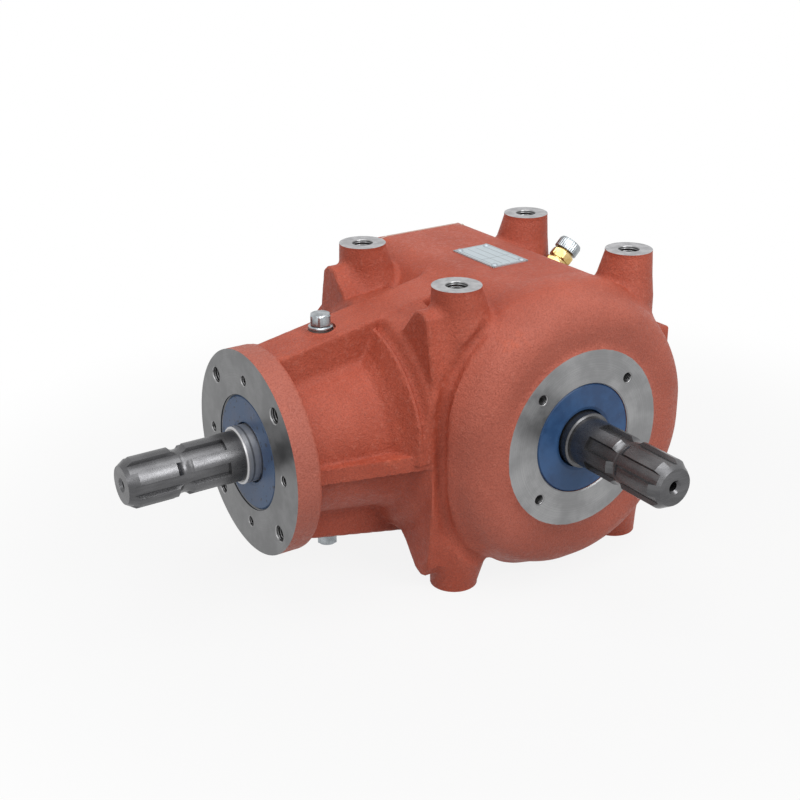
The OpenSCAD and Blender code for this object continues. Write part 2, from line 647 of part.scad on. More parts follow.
// Cover on the far side, which carries the rear output bearing
screw_af = 13;
head_h = 5.5;
module bearing_cover() color(red_oxide) translate([0, 0, axis_h]) difference() {
    union() {
        section_y(flat_h - 2.5, side_x - 1, side_x - 1, cover_in, cover_in + cover_t);
        rotate([-90, 0, 0]) rod(cover_bore_r - 0.4, cover_in - 6, cover_in + 1);
        rotate([-90, 0, 0]) rod(bore_r + 9, out_far + 3, cover_in + cover_t + 4);
    }
    rotate([-90, 0, 0]) {
        rod(bore_r, out_far - 1, out_far + bearing_w + fit);
        tube(cover_bore_r - 9, bore_r + 9, cover_in - 8, cover_in - fit);
        rod(thrust_r, out_far, cover_in + 1.5);
    }
    at_cover_screws() rotate([-90, 0, 0]) rod(cover_hole_r + 0.9, cover_in - 1, cover_in + cover_t + 1);
}
module cover_gasket() color(paper_grey) translate([0, 0, axis_h]) difference() {
    section_y(flat_h - 2, side_x - 0.5, side_x - 0.5, cover_face_y, cover_in);
    rotate([-90, 0, 0]) rod(cover_bore_r, cover_face_y - 1, cover_in + 1);
    at_cover_screws() rotate([-90, 0, 0]) rod(cover_hole_r + 0.9, cover_face_y - 1, cover_in + 1);
}
module cover_screws() color(zinc) translate([0, 0, axis_h]) at_cover_screws() rotate([-90, 0, 0]) {
    rod(cover_hole_r - fit, cover_face_y - cover_hole_depth + 2, cover_in + cover_t + 1);
    translate([0, 0, cover_in + cover_t]) cylinder(r = screw_af / 2 / cos(30), h = head_h, $fn = 6);
}

// Plugs with flanged hexagon heads, standing on z = 0
washer_t = 1.5;
plug_head = 10;
plug_flange_r = 10.4;
module sealing_washer() color(brass) tube(plug_flange_r + 0.5, plug_r + 0.2, 0, washer_t);
module hex_plug() color(zinc) difference() {
    union() {
        rod(plug_r - fit, -11, washer_t + 1);
        rod(plug_flange_r, washer_t, washer_t + 2.6);
        translate([0, 0, washer_t + 2.5]) intersection() {
            cylinder(r = plug_af / 2 / cos(30), h = plug_head, $fn = 6);
            cylinder(r1 = plug_af / 2 + plug_head, r2 = plug_af / 2 - 0.2, h = plug_head);
        }
    }
}
module at_filler() translate([-filler_x, 0, axis_h + filler_z]) children();
module at_drain() translate([-filler_x, 0, axis_h + drain_z]) mirror([0, 0, 1]) children();
module filler_plug() at_filler() hex_plug();
module filler_washer() at_filler() sealing_washer();
module drain_plug() at_drain() hex_plug();
module drain_washer() at_drain() sealing_washer();

// Breather: brass body with a hexagon, and a zinc cap over its spigot
hex_h = 10;
spigot_h = 9;
cap_gap = 3;
module at_breather() translate([0, 0, axis_h]) on_slope() children();
module breather_body() color(brass) at_breather() difference() {
    union() {
        rod(plug_r - fit, -11, 1);
        intersection() {
            cylinder(r = breather_af / 2 / cos(30), h = hex_h, $fn = 6);
            cylinder(r1 = breather_af / 2 + 11, r2 = breather_af / 2, h = hex_h);
        }
        rod(5.5, hex_h - 1, hex_h + spigot_h);
    }
    rod(1.5, -12, hex_h + spigot_h + 1);
}
module breather_cap() color(zinc) at_breather() difference() {
    revolve([[0, hex_h + cap_gap], [9, hex_h + cap_gap], [10.5, hex_h + cap_gap + 1.5], [10.5, breather_h - 5],
             [8.5, breather_h - 1.2], [5, breather_h], [0, breather_h]]);
    rod(5.5 + fit, hex_h, hex_h + spigot_h);
    rod(4, hex_h + spigot_h - eps, hex_h + spigot_h + 3);
    for (a = [0, 120, 240]) rotate([0, 0, a]) translate([0, -1, hex_h + cap_gap - 1]) cube([12, 2, 2.5]);
}

// Bare data plate and its four drive rivets
plate_t = 1;
module data_plate() color(zinc) translate([0, 0, axis_h]) difference() {
    translate([plate_x - plate_w / 2, plate_y - plate_l / 2, flat_h]) cube([plate_w, plate_l, plate_t]);
    at_rivets() rod(rivet_r + 0.1, -1, plate_t + 1);
}
module plate_rivets() color(bright_steel) translate([0, 0, axis_h]) at_rivets() {
    rod(rivet_r - fit, -6, plate_t + 0.5);
    intersection() {
        translate([0, 0, plate_t - 1.6]) sphere(3);
        rod(2.7, plate_t, plate_t + 2);
    }
}

// Bearing pieces in their places
module input_outer_cup() in_outer_place() bearing_cup(bearing_w);
module input_outer_cone() in_outer_place() bearing_cone(bearing_w);
module input_outer_rollers() in_outer_place() bearing_rollers(bearing_w);
module input_outer_cage() in_outer_place() bearing_cage(bearing_w);
module input_inner_cup() in_inner_place() bearing_cup(wide_bearing_w);
module input_inner_cone() in_inner_place() bearing_cone(wide_bearing_w);
module input_inner_rollers() in_inner_place() bearing_rollers(wide_bearing_w);
module input_inner_cage() in_inner_place() bearing_cage(wide_bearing_w);
module output_near_cup() out_near_place() bearing_cup(bearing_w);
module output_near_cone() out_near_place() bearing_cone(bearing_w);
module output_near_rollers() out_near_place() bearing_rollers(bearing_w);
module output_near_cage() out_near_place() bearing_cage(bearing_w);
module output_far_cup() out_far_place() bearing_cup(bearing_w);
module output_far_cone() out_far_place() bearing_cone(bearing_w);
module output_far_rollers() out_far_place() bearing_rollers(bearing_w);
module output_far_cage() out_far_place() bearing_cage(bearing_w);

housing();
bearing_cover();
cover_gasket();
cover_screws();
input_shaft();
bevel_pinion();
pinion_key();
pinion_washer();
pinion_nut();
distance_sleeve();
input_shaft_clip();
input_spacer();
input_bore_clip();
input_seal();
input_seal_spring();
input_outer_cup();
input_outer_cone();
input_outer_rollers();
input_outer_cage();
input_inner_cup();
input_inner_cone();
input_inner_rollers();
input_inner_cage();
output_shaft();
crown_gear();
crown_key();
output_shaft_clip();
output_shim();
output_bore_clip();
output_seal();
output_seal_spring();
output_near_cup();
output_near_cone();
output_near_rollers();
output_near_cage();
output_far_cup();
output_far_cone();
output_far_rollers();
output_far_cage();
filler_plug();
filler_washer();
drain_plug();
drain_washer();
breather_body();
breather_cap();
data_plate();
plate_rivets();
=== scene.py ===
"""Right-angle bevel gearbox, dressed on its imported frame.

The casting is one surface: distance fields of its plain forms, blended with fillets, polygonised, and then
machined with true flat faces and bores. The other pieces keep the frame's meshes under their own finishes.
Lengths here are millimetres in the gearbox's frame; meshes are written in metres.
"""
import json
import math

import bmesh
import bpy
import numpy as np
from mathutils import Matrix, Vector


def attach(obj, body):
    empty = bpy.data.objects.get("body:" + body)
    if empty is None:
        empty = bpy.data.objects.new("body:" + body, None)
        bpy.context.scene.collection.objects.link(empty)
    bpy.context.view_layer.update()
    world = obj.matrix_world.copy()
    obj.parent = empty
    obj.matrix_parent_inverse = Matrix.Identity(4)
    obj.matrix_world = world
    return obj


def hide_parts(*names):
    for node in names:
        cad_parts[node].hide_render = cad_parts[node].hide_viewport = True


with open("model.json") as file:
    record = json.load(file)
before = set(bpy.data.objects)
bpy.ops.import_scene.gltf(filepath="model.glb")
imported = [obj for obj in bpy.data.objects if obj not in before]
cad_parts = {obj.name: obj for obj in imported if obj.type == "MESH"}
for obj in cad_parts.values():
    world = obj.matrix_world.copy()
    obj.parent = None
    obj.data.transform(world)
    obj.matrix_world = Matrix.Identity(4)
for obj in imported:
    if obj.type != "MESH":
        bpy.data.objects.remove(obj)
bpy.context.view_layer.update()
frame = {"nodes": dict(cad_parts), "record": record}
MM = 0.001

# Main sizes, in millimetres; x and y as in the frame, z from the shaft axes
AXIS_H = 112.0            # height of both shaft axes
FLANGE_X = -205.0         # input flange face
FLANGE_BACK = -187.0      # its back, where the neck starts
FLANGE_R = 72.0
FACE_Y = -108.0           # output face
COVER_Y = 97.0            # cover face
BOSS_X, BOSS_Y = 75.0, 60.0
BOSS_R, BOSS_TOP = 17.0, 112.0
FLAT = 101.5              # octagon's flats from the axes
DOME = 107.0
SIDE = 96.5               # upright sides of the body
NECK_HALF = 17.5          # half the width of ridge and keel
BORE_R = 40.0
DIAGONAL = 0.70710678

# Places and sizes of the small parts
FILLER_X, FILLER_Z, DRAIN_Z = -145.0, 77.0, -75.0
PAD_R, SEAT_R = 9.2, 10.2             # cast pad under a plug, machined seat on it
BREATHER, UPHILL = (73.9, 25, 73.9), (1, 0, 1)
SLOPE_PAD_R, SLOPE_SEAT_R = 13.2, 12.6
THREAD_R = 6                          # threads of plugs and breather
PLATE_X, PLATE_Y = 2.5, 8.0           # middle of the data plate
RIVET_X, RIVET_Y = 12, 21.5

# Tapped holes: circle (diameter, angle of the first, count) and size (radius, depth, countersink)
BOSS_HOLE = (7, 26, 0.9)
FLANGE_HOLES = (((121, 45, 4), (5.1, 14, 0.9)), ((105, 0, 4), (3.4, 14, 0.6)))
FACE_HOLES = ((105, 45, 4), (3.4, 14, 0.7))
COVER_HOLES = ((188, 22.5, 8), (3.4, 18, 0.1))

# The casting's grid; its corners lie off every machined plane
GRID_LOW, GRID_HIGH, PITCH = (-215.7, -119.1, -121.9), (115.4, 110.9, 121.9), 2.08


# ---------------------------------------------------------------- fields of the casting
def round_and(a, b, r):
    """Intersection of two fields whose edge is rounded: the circle of radius r inside the corner."""
    return np.minimum(-r, np.maximum(a, b)) + np.hypot(np.maximum(r + a, 0), np.maximum(r + b, 0))


def round_or(a, b, r):
    """Union of two fields whose crease is filled: the circle of radius r outside the corner."""
    return np.maximum(r, np.minimum(a, b)) - np.hypot(np.maximum(r - a, 0), np.maximum(r - b, 0))


def octagon(u, v, flat_u, flat_v, flat_d, r):
    """Planes at |u|, |v| and (|u|+|v|)/sqrt2, with edges of radius r; flat_u may be a pair for the two sides."""
    low, high = flat_u if isinstance(flat_u, tuple) else (flat_u, flat_u)
    side = np.maximum(-u - low, u - high)
    d = (np.abs(u) + np.abs(v)) * DIAGONAL - flat_d
    return round_and(round_and(side, d, r), np.abs(v) - flat_v, r)


def along(t, t0, t1):
    """Distance outside the slab t0..t1."""
    return np.maximum(t0 - t, t - t1)


def box(x, y, z, lo, hi, r):
    """Box with edges of radius r: the rounded intersection of its three slabs."""
    return round_and(round_and(along(x, lo[0], hi[0]), along(y, lo[1], hi[1]), r), along(z, lo[2], hi[2]), r)


def polygon(u, v, points):
    """Signed distance to a closed outline: least distance to its sides, negative where a ray crosses an odd number
    of them."""
    p = np.array(points, np.float32)
    q = np.roll(p, -1, 0)
    best = np.full(np.broadcast(u, v).shape, 1e9, np.float32)
    inside = np.zeros(best.shape, bool)
    for (ax, ay), (bx, by) in zip(p, q):
        ex, ey = bx - ax, by - ay
        wx, wy = u - ax, v - ay
        t = np.clip((wx * ex + wy * ey) / (ex * ex + ey * ey), 0, 1)
        best = np.minimum(best, (wx - ex * t) ** 2 + (wy - ey * t) ** 2)
        if ay != by:
            inside ^= ((ay > v) != (by > v)) & (u < (bx - ax) * (v - ay) / (by - ay) + ax)
    return np.sqrt(best) * np.where(inside, -1, 1)


def column(x, y, z):
    """One boss, folded from all eight: its outer side stands upright and its inner side swells towards the root."""
    h = np.abs(z)
    swell = 0.17 * np.clip(110 - h, 0, 16) + 0.30 * np.clip(94 - h, 0, 14)
    r = np.hypot(np.abs(x) - BOSS_X + swell, (np.abs(y) - BOSS_Y) * (1 - 0.006 * swell))
    return np.maximum(r - BOSS_R - swell, h - (BOSS_TOP + 4))


def dome(x, y, z):
    """Octagonal drum with a large front radius; the plain ring under the machined face stands on it."""
    corner, front, back = 34, 31, 12     # edge radii
    side = round_and(octagon(x, z, (SIDE + 1.5, DOME), DOME - 0.5, DOME, corner), np.hypot(x, z) - 111.5, 18)
    drum = round_and(side, -106.8 - y, front)
    drum = round_and(drum, y + 59, back)
    ring = np.maximum(np.hypot(x, z) - (64.0 + 1.4 * np.clip(y + 108, 0, 6)), along(y, -112, -95))
    return round_or(drum, ring, 3)


def ridge_top(x):
    """Height of the ridge, which climbs from the flange to the body."""
    return 69 + 0.188 * (x - FLANGE_BACK)


def neck(x, y, z):
    """Cone from the flange to the body, with a flat ridge above and a keel below that run on into the slopes."""
    t = np.clip((x - FLANGE_BACK) / 107, 0, 1.2)
    cone = (np.hypot(y, z) - 49 - 15 * t) * 0.99
    top, low = ridge_top(x), 66 + 0.206 * (x - FLANGE_BACK)
    ridge = round_and(np.abs(y) - NECK_HALF - 0.05 * (top - z).clip(0, 60), (z - top) * 0.983, 2.2)
    keel = round_and(np.abs(y) - NECK_HALF - 0.05 * (z + low).clip(0, 60), (-low - z) * 0.98, 2.2)
    form = round_or(round_or(cone, np.maximum(ridge, -z), 4.5), np.maximum(keel, z), 3)
    return np.maximum(form, along(x, -192, -48))


def side_ribs(x, y, z):
    """Level rib on each side, which runs outward from the flange to the web."""
    edge = np.minimum(53.6 + 0.262 * (x - FLANGE_BACK), 75.6)
    return round_and(np.maximum(along(z, -9.0, 2.0), along(x, -190, -80)), (np.abs(y) - edge) * 0.967, 1.1)


# Outline of the web as (|y|, z), from the middle above to the middle below
WEB_OUTLINE = [(0, 80), (36, 77), (41, 83.5), (53, 97.3), (58, 98.6), (63, 98), (67.5, 94.5), (71.5, 75), (74, 57),
               (75.6, 40), (76, 10), (76, -20), (75.4, -42), (72.5, -72), (70, -90), (65, -97), (60, -98.5),
               (53, -95.5), (40, -79), (34, -74), (0, -78)]


def web(x, y, z):
    """Web square to the neck in front of the bosses, filled back to them; its outline joins all four."""
    return round_and(polygon(np.abs(y), z, WEB_OUTLINE), along(x, -104, -74), 2.0)


# Radius of the widening neck along x, above the side ribs and below them
STEPS_HIGH = [(-200, 40), (-129, 55), (-121, 64.5), (-116.8, 72.6), (-114.4, 77.6), (-112.8, 78.4), (-111.5, 76.9),
              (-109.6, 78.0), (-106.6, 84.5), (-103.5, 87.2), (-98, 88.5), (-74, 90), (-60, 60)]
STEPS_LOW = [(-200, 40), (-124, 55), (-113, 62), (-108, 71), (-104, 76), (-98, 78), (-74, 79), (-60, 55)]


def steps(x, y, z):
    """Two soft steps by which the neck widens to the web above the side ribs, and one slow sweep below them."""
    def turned(table, limit):
        tx, tr = np.array(table).T
        slope = np.diff(tr) / np.diff(tx)
        k = np.clip(np.searchsorted(tx, x.ravel()) - 1, 0, len(slope) - 1)
        r = np.interp(x.ravel(), tx, tr).reshape(x.shape)
        form = (np.hypot(y, z) - r) / np.sqrt(1 + slope[k].reshape(x.shape) ** 2)
        return round_and(form, np.abs(y) - limit, 1.6)
    high = round_and(np.maximum(turned(STEPS_HIGH, 76.2), -4 - z), z - ridge_top(x) + 1.2, 1.6)
    low = np.maximum(turned(STEPS_LOW, 74.5), z + 3)
    return np.maximum(np.minimum(high, low), along(x, -160, -64))


def flange(x, y, z):
    """Disc of the input flange with a soft back edge."""
    return round_and(np.hypot(y, z) - FLANGE_R, x - FLANGE_BACK, 2.2)


def rear_pads(x, y, z):
    """Two upright pads on the rear wall with square ends."""
    return box(x, np.abs(y), z, (60, 49.5, -51.5), (106, 74.5, 51.5), 1.5)


def plug_pads(x, y, z):
    """Round pads under the filler and the drain, and the one for the breather on the slope."""
    r = np.hypot(x - FILLER_X, y)
    filler = np.maximum(r - PAD_R, along(z, 60, FILLER_Z + 0.3))
    drain = np.maximum(r - PAD_R, along(z, DRAIN_Z - 0.3, -60))
    u, w = (x - z) * DIAGONAL, (x + z) * DIAGONAL
    slope = np.maximum(np.hypot(u, y - BREATHER[1]) - SLOPE_PAD_R, along(w, 80, 108))
    return np.minimum(np.minimum(filler, drain), slope)


# Middle line of the groove beside the dome, from the upper front boss to the lower one
HOLLOW = [(-66, -84.5, 89), (-82.5, -81.6, 71), (-88, -78.6, 60), (-94.5, -78.4, 47), (-98.2, -78.6, 31),
          (-99.4, -78.8, 13), (-99.4, -78.6, -10), (-98, -78.2, -37), (-90, -77.4, -65), (-81, -82.4, -78),
          (-66, -84.5, -89)]
HOLLOW_R = 4.4


def hollow(x, y, z):
    """Soft groove between the web and the dome: distance to a chain of lines, less the groove's radius."""
    best = np.full(x.shape, 1e9, np.float32)
    for a, b in zip(HOLLOW, HOLLOW[1:]):
        e = np.subtract(b, a)
        t = np.clip(((x - a[0]) * e[0] + (y - a[1]) * e[1] + (z - a[2]) * e[2]) / (e @ e), 0, 1)
        gap = (x - a[0] - t * e[0]) ** 2 + (y - a[1] - t * e[1]) ** 2 + (z - a[2] - t * e[2]) ** 2
        best = np.minimum(best, gap)
    return np.sqrt(best) - HOLLOW_R


def casting_field(x, y, z):
    """All forms joined with fillets of the radii that the casting shows."""
    x, y, z = np.broadcast_arrays(x, y, z)
    body = round_and(octagon(x, z, SIDE, FLAT, FLAT, 9), along(y, -80, 104), 3)
    body = round_or(body, dome(x, y, z), 12)
    form = round_or(neck(x, y, z), side_ribs(x, y, z), 1.8)
    form = round_or(form, steps(x, y, z), 1.5)
    form = round_or(form, np.maximum(flange(x, y, z), -212 - x), 3)
    form = round_or(form, web(x, y, z), 2.2)
    form = round_or(form, body, 5)
    form = round_or(form, column(x, y, z), 5)
    form = round_and(form, -hollow(x, y, z), 2.5)
    form = round_or(form, rear_pads(x, y, z), 3)
    return round_or(form, plug_pads(x, y, z), 3)


def slope_of(field, p, h=0.25):
    """Unit normals of a field by central differences."""
    g = np.stack([field(*(p + e).T) - field(*(p - e).T) for e in np.eye(3, dtype=np.float32) * h], 1)
    return g / np.maximum(np.linalg.norm(g, axis=1), 1e-6)[:, None]


def polygonise(field, lo, hi, pitch):
    """Dual contouring: one vertex in each cell that the surface crosses, at the point nearest in least squares to the
    tangent planes at its edge crossings, so that edges stay crisp, and one quad round each crossed grid edge."""
    axes = [np.arange(lo[i], hi[i] + pitch, pitch, dtype=np.float32) for i in range(3)]
    x, y, z = np.meshgrid(*axes, indexing="ij")
    f = field(x, y, z).astype(np.float32)
    neg = f < 0
    found, rounds = True, 0
    while found and rounds < 12:
        # a grid square whose corners alternate would give an edge with four faces: its corners become solid
        found, rounds = False, rounds + 1
        for i, j in ((0, 1), (0, 2), (1, 2)):
            corners = []
            for di, dj in ((0, 0), (1, 0), (0, 1), (1, 1)):
                part = [slice(None)] * 3
                part[i], part[j] = slice(di, neg.shape[i] - 1 + di), slice(dj, neg.shape[j] - 1 + dj)
                corners.append(tuple(part))
            a, b, c, d = (neg[k] for k in corners)
            odd = (a == d) & (b == c) & (a != b)
            if odd.any():
                found = True
                for k in corners:
                    f[k][odd] = np.minimum(f[k][odd], -0.02)
                neg = f < 0
    cells = np.array(f.shape) - 1
    origin = np.array([a[0] for a in axes])
    count = np.zeros(cells.prod())
    mean = np.zeros((cells.prod(), 3))
    normals = np.zeros((cells.prod(), 3, 3))
    reach = np.zeros((cells.prod(), 3))
    rings = []
    for axis in range(3):
        step = np.eye(3, dtype=int)[axis]
        o1, o2 = [i for i in range(3) if i != axis]
        a, b = [slice(None)] * 3, [slice(None)] * 3
        a[axis], b[axis] = slice(0, -1), slice(1, None)
        edges = np.argwhere(neg[tuple(a)] != neg[tuple(b)])
        e1, e2 = edges[:, o1], edges[:, o2]
        edges = edges[(e1 > 0) & (e2 > 0) & (e1 < cells[o1]) & (e2 < cells[o2])]
        fa, fb = f[tuple(edges.T)], f[tuple((edges + step).T)]
        start = origin + edges * pitch
        t = fa / (fa - fb)
        for _ in range(2):     # false position, twice
            ft = field(*(start + step * (t * pitch)[:, None]).T)
            below = (ft < 0) == (fa < 0)
            t = np.clip(t - np.where(below, ft / (ft - fb - 1e-9) * (t - 1), ft / (ft - fa + 1e-9) * t), 0, 1)
        point = start + step * (t * pitch)[:, None]
        n = slope_of(field, point.astype(np.float32))
        ring = []
        for d1, d2 in ((1, 1), (0, 1), (0, 0), (1, 0)):
            e = edges.copy()
            e[:, o1] -= d1
            e[:, o2] -= d2
            k = np.ravel_multi_index(e.T, cells)
            ring.append(k)
            count += np.bincount(k, minlength=len(count))
            for i in range(3):
                mean[:, i] += np.bincount(k, point[:, i], len(count))
                reach[:, i] += np.bincount(k, n[:, i] * (n * point).sum(1), len(count))
                for j in range(3):
                    normals[:, i, j] += np.bincount(k, n[:, i] * n[:, j], len(count))
        quad = np.stack(ring, 1)
        outward = neg[tuple(edges.T)] if axis != 1 else ~neg[tuple(edges.T)]
        quad[~outward] = quad[~outward][:, ::-1]
        rings.append(quad)
    live = np.flatnonzero(count)
    mean = mean[live] / count[live][:, None]
    pull = 0.06 * np.eye(3)     # holds the point near the mean of its crossings where the planes leave it free
    p = np.linalg.solve(normals[live] + pull, (reach[live] + mean @ pull)[..., None])[..., 0]
    corner = origin + np.stack(np.unravel_index(live, cells), 1) * pitch
    p = np.clip(p, corner - 0.1 * pitch, corner + 1.1 * pitch)
    index = -np.ones(cells.prod(), np.int64)
    index[live] = np.arange(len(live))
    return p, index[np.concatenate(rings)]


def mesh_object(name, points, faces):
    """New object at the origin from points in millimetres, with z measured from the shaft axes."""
    mesh = bpy.data.meshes.new(name)
    faces = faces.tolist() if isinstance(faces, np.ndarray) else faces
    mesh.from_pydata(((np.asarray(points, float) + [0, 0, AXIS_H]) * MM).tolist(), [], faces)
    mesh.validate()
    obj = bpy.data.objects.new(name, mesh)
    bpy.context.scene.collection.objects.link(obj)
    return obj


# ---------------------------------------------------------------- machining
def lathe(profile, start, direction, steps=96, across=None):
    """Solid of revolution: (distance along the axis, radius) pairs turned about a line, closed at both ends; across
    limits every radius to a hexagon of that width over its flats."""
    d = np.array(direction, float)
    d /= np.linalg.norm(d)
    u = np.cross(d, [0, 0, 1.0] if abs(d[2]) < 0.9 else [1.0, 0, 0])
    u /= np.linalg.norm(u)
    w = np.cross(d, u)
    a = np.arange(steps) * 2 * math.pi / steps
    h, r = np.array(profile, float).T
    ring = np.cos(a)[:, None] * u + np.sin(a)[:, None] * w
    r = np.repeat(r[:, None], steps, 1)
    if across:
        r = np.minimum(r, across / 2 / np.cos((a + math.pi / 6) % (math.pi / 3) - math.pi / 6))
    pts = np.array(start, float) + h[:, None, None] * d + r[:, :, None] * ring[None]
    pts = pts.reshape(-1, 3)
    i, j = np.meshgrid(np.arange(len(h) - 1), np.arange(steps), indexing="ij")
    k = (j + 1) % steps
    quads = np.stack([i * steps + j, i * steps + k, (i + 1) * steps + k, (i + 1) * steps + j], -1).reshape(-1, 4)
    faces = quads.tolist()
    faces.append(list(range(steps))[::-1])
    faces.append(list(range((len(h) - 1) * steps, len(h) * steps)))
    return pts, faces


def joined(parts):
    """Points and faces of several solids as one."""
    points, faces, n = [], [], 0
    for p, f in parts:
        points.append(p)
        faces += [[v + n for v in face] for face in f]
        n += len(p)
    return np.concatenate(points), faces


def slab(lo, hi):
    """Box as points and faces."""
    lo, hi = np.array(lo, float), np.array(hi, float)
    c = np.array([[i, j, k] for i in (0, 1) for j in (0, 1) for k in (0, 1)])
    return lo + c * (hi - lo), [[0, 1, 3, 2], [4, 6, 7, 5], [0, 4, 5, 1], [2, 3, 7, 6], [0, 2, 6, 4], [1, 5, 7, 3]]


def hole(mouth, direction, r, depth, sink):
    """Tapped hole: a countersunk mouth, a wall and a drill point; it starts 3 mm outside the face."""
    profile = [(-3, r + sink + 3), (0, r + sink), (sink, r), (depth, r), (depth + r * 0.6, 0.05)]
    return lathe(profile, mouth, direction, 40)


def corners_at(u, v):
    """The four places (-u, -v) to (u, v)."""
    return [(i * u, j * v) for i in (-1, 1) for j in (-1, 1)]


def circle_places(pcd, first, count):
    """Places on a circle of diameter pcd; the first one's angle is in degrees."""
    turns = [math.radians(first + 360 / count * k) for k in range(count)]
    return [(pcd / 2 * math.cos(a), pcd / 2 * math.sin(a)) for a in turns]


def rod(r, length, start, direction, steps=96):
    """Plain round solid."""
    return lathe([(0, r), (length, r)], start, direction, steps)


def cutters():
    """Groups of cuts, one tool each. In bores the output bore runs 19 mm into the cavity, and the solver keeps that
    overlap as an inner surface inside the closed casting, out of sight."""
    under = (BREATHER[0] - 25, BREATHER[1], BREATHER[2] - 25)
    faces = [slab((-230, -150, -150), (FLANGE_X, 150, 150)), slab((-160, -150, -150), (160, FACE_Y, 150)),
             slab((-160, COVER_Y, -150), (160, 130, 150)), slab((-125, -107, BOSS_TOP), (125, 96, 130)),
             slab((-125, -107, -130), (125, 96, -BOSS_TOP)),
             rod(SEAT_R, 20, (FILLER_X, 0, FILLER_Z), (0, 0, 1)), rod(SEAT_R, 20, (FILLER_X, 0, DRAIN_Z), (0, 0, -1)),
             rod(SLOPE_SEAT_R, 20, BREATHER, UPHILL)]
    mouth = BORE_R + 0.8
    bores = [lathe([(0, mouth), (6, mouth), (6.8, BORE_R), (39.75, BORE_R)], (FLANGE_X - 5, 0, 0), (1, 0, 0)),
             lathe([(0, mouth), (3, mouth), (3.8, BORE_R), (60, BORE_R)], (0, FACE_Y - 3, 0), (0, 1, 0)),
             rod(80, 180, (0, -70.25, 0), (0, 1, 0))]
    neck_bores = [rod(35, 120, (-180, 0, 0), (1, 0, 0))]
    core = [rod(44, 48, (-162.2, 0, 0), (1, 0, 0)),
            lathe([(0, BORE_R), (21, BORE_R), (21, 50), (50, 50)], (-106.35, 0, 0), (1, 0, 0))]
    holes = [hole((x, y, side * BOSS_TOP), (0, 0, -side), *BOSS_HOLE)
             for side in (1, -1) for x, y in corners_at(BOSS_X, BOSS_Y)]
    holes += [hole((FLANGE_X, y, z), (1, 0, 0), *size)
              for circle, size in FLANGE_HOLES for y, z in circle_places(*circle)]
    holes += [hole((x, FACE_Y, z), (0, 1, 0), *FACE_HOLES[1]) for x, z in circle_places(*FACE_HOLES[0])]
    holes += [hole((x, COVER_Y, z), (0, -1, 0), *COVER_HOLES[1]) for x, z in circle_places(*COVER_HOLES[0])]
    threads = [rod(THREAD_R, 70, (FILLER_X, 0, 20), (0, 0, 1), 48),
               rod(THREAD_R, 80, (FILLER_X, 0, -20), (0, 0, -1), 48), rod(THREAD_R, 50, under, UPHILL, 48)]
    threads += [rod(1.5, 9, (PLATE_X + x, PLATE_Y + y, 93.5), (0, 0, 1), 16) for x, y in corners_at(RIVET_X, RIVET_Y)]
    return [faces, bores, neck_bores, core, holes + threads]


def machine(obj):
    """Cuts every group out of the casting."""
    for group in cutters():
        tool = mesh_object("tool", *joined(group))
        mod = obj.modifiers.new("cut", "BOOLEAN")
        mod.operation, mod.object, mod.solver = "DIFFERENCE", tool, "MANIFOLD"
        depsgraph = bpy.context.evaluated_depsgraph_get()
        mesh = bpy.data.meshes.new_from_object(obj.evaluated_get(depsgraph), depsgraph=depsgraph)
        obj.modifiers.clear()
        obj.data = mesh
        bpy.data.objects.remove(tool)
    return obj


def mark_faces(mesh, tests):
    """Gives every face the material of the last test that its centre and normal pass; the tests come as (material,
    function) pairs."""
    n = len(mesh.polygons)
    normal = np.empty(n * 3, np.float32)
    centre = np.empty(n * 3, np.float32)
    mesh.polygons.foreach_get("normal", normal)
    mesh.polygons.foreach_get("center", centre)
    normal, centre = normal.reshape(-1, 3), centre.reshape(-1, 3) / MM - [0, 0, AXIS_H]
    index = np.zeros(n, np.int32)
    for material, test in tests:
        index[test(centre.T, normal.T)] = material
    mesh.polygons.foreach_set("material_index", index)
    mesh.polygons.foreach_set("use_smooth", np.ones(n, bool))


def in_holes(u, v, places, size):
    """Faces whose centre lies inside one of the holes, seen along their axis."""
    r, _, sink = size
    return np.any([np.hypot(u - a, v - b) < r + sink + 0.1 for a, b in places], axis=0)


# ---------------------------------------------------------------- shader maths
class Value:
    """A number that varies over a surface: wraps a socket, and its operators add Math nodes."""

    def __init__(self, finish, socket):
        self.finish, self.socket = finish, socket

    def _math(self, operation, *args):
        return self.finish.node("ShaderNodeMath", {"operation": operation}, args)

    def __add__(self, o):
        return self._math("ADD", self, o)
    __radd__ = __add__

    def __sub__(self, o):
        return self._math("SUBTRACT", self, o)

    def __rsub__(self, o):
        return self._math("SUBTRACT", o, self)

    def __mul__(self, o):
        return self._math("MULTIPLY", self, o)
    __rmul__ = __mul__

    def __truediv__(self, o):
        return self._math("DIVIDE", self, o)

    def __pow__(self, o):
        return self._math("POWER", self, o)

    def __abs__(self):
        return self._math("ABSOLUTE", self)

    def step(self, lo, hi, a=0.0, b=1.0):
        """Smooth change from a to b as the value goes from lo to hi."""
        return self.finish.node("ShaderNodeMapRange", {"interpolation_type": "SMOOTHSTEP"},
                                {"Value": self, "From Min": lo, "From Max": hi, "To Min": a, "To Max": b})


